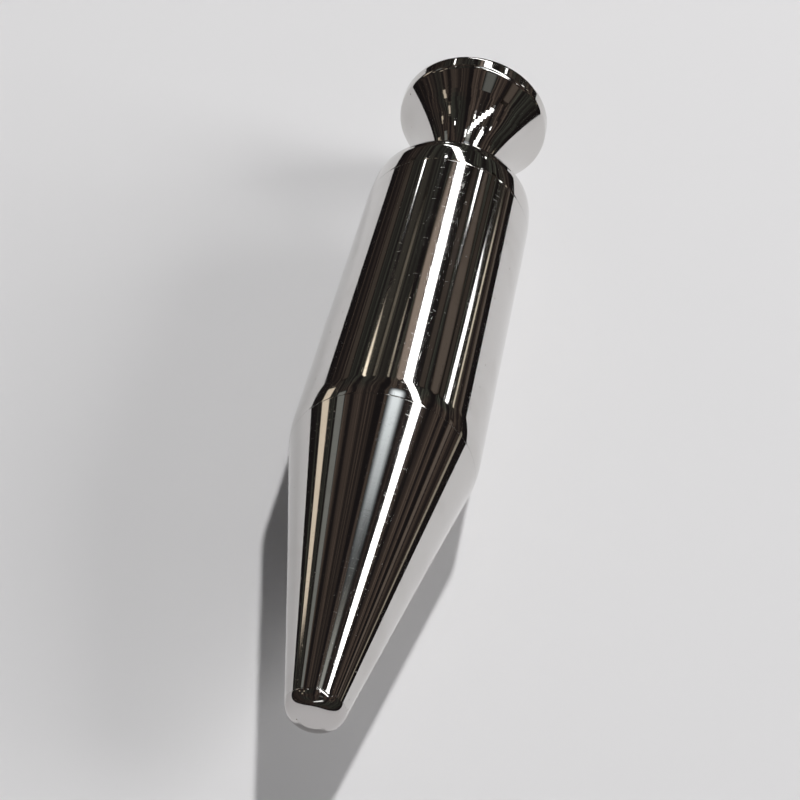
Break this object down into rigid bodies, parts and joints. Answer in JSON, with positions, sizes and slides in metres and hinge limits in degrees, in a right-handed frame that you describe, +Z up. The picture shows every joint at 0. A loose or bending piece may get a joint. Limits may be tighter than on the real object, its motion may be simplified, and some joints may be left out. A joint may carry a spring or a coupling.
{
  "type": "plumb bob",
  "caption": "Slim polished steel plumb bob with a tapered barrel, a screwed cone nose with a blunt rounded point, and a flared disc head that unscrews.",
  "frame": {"origin": "on the surface it lies on, under the middle of its length", "axes": "+Y along the bob's axis from the point to the head, +Z up, away from the surface it lies on"},
  "size_m": [0.0238, 0.1118, 0.0239],
  "materials": {
    "polished_steel": "mirror-polished steel with fine turning marks",
    "hardened_steel": "hardened and polished tool steel, slightly darker",
    "turned_steel": "as-turned steel",
    "lead_alloy": "dull cast heavy alloy",
    "brass": "satin turned brass",
    "black_rubber": "matt nitrile rubber",
    "grey_felt": "pressed wool felt"
  },
  "bodies": {
    "body": {"barrel": "polished_steel", "end_plug": "polished_steel", "heavy_core": "lead_alloy", "core_pad": "grey_felt"},
    "nose_ring": {"nose_o_ring": "black_rubber"},
    "nose": {"nose_cone": "polished_steel"},
    "point_ring": {"point_o_ring": "black_rubber"},
    "point": {"point": "hardened_steel"},
    "head_ring": {"head_o_ring": "black_rubber"},
    "head": {"head": "polished_steel", "head_stud": "turned_steel", "cord_ferrule": "brass"},
    "button": {"cord_button": "brass"}
  },
  "joints": [
    {"name": "nose_draw", "type": "slide", "parent": "body", "child": "nose_ring", "axis": [0, -1, 0], "range_m": [0, 0.0075]},
    {"name": "nose_turn", "type": "hinge", "parent": "nose_ring", "child": "nose", "pos_m": [0, -0.01396, 0.01193], "axis": [0, -1, 0], "range_deg": [0, 1800]},
    {"name": "point_draw", "type": "slide", "parent": "nose", "child": "point_ring", "axis": [0, -1, 0], "range_m": [0, 0.0056]},
    {"name": "point_turn", "type": "hinge", "parent": "point_ring", "child": "point", "pos_m": [0, -0.05413, 0.01193], "axis": [0, -1, 0], "range_deg": [0, 2880]},
    {"name": "head_lift", "type": "slide", "parent": "body", "child": "head_ring", "axis": [0, 1, 0], "range_m": [0, 0.0056]},
    {"name": "head_turn", "type": "hinge", "parent": "head_ring", "child": "head", "pos_m": [0, 0.0375, 0.01193], "axis": [0, 1, 0], "range_deg": [0, 2520]},
    {"name": "button_spin", "type": "hinge", "parent": "head", "child": "button", "pos_m": [0, 0.02464, 0.01193], "axis": [0, 1, 0], "continuous": true}
  ],
  "couplings": [
    {"joint": "nose_turn", "follows": "nose_draw", "rad_per_m": 4188.8},
    {"joint": "point_turn", "follows": "point_draw", "rad_per_m": 8976},
    {"joint": "head_turn", "follows": "head_lift", "rad_per_m": 7854}
  ]
}
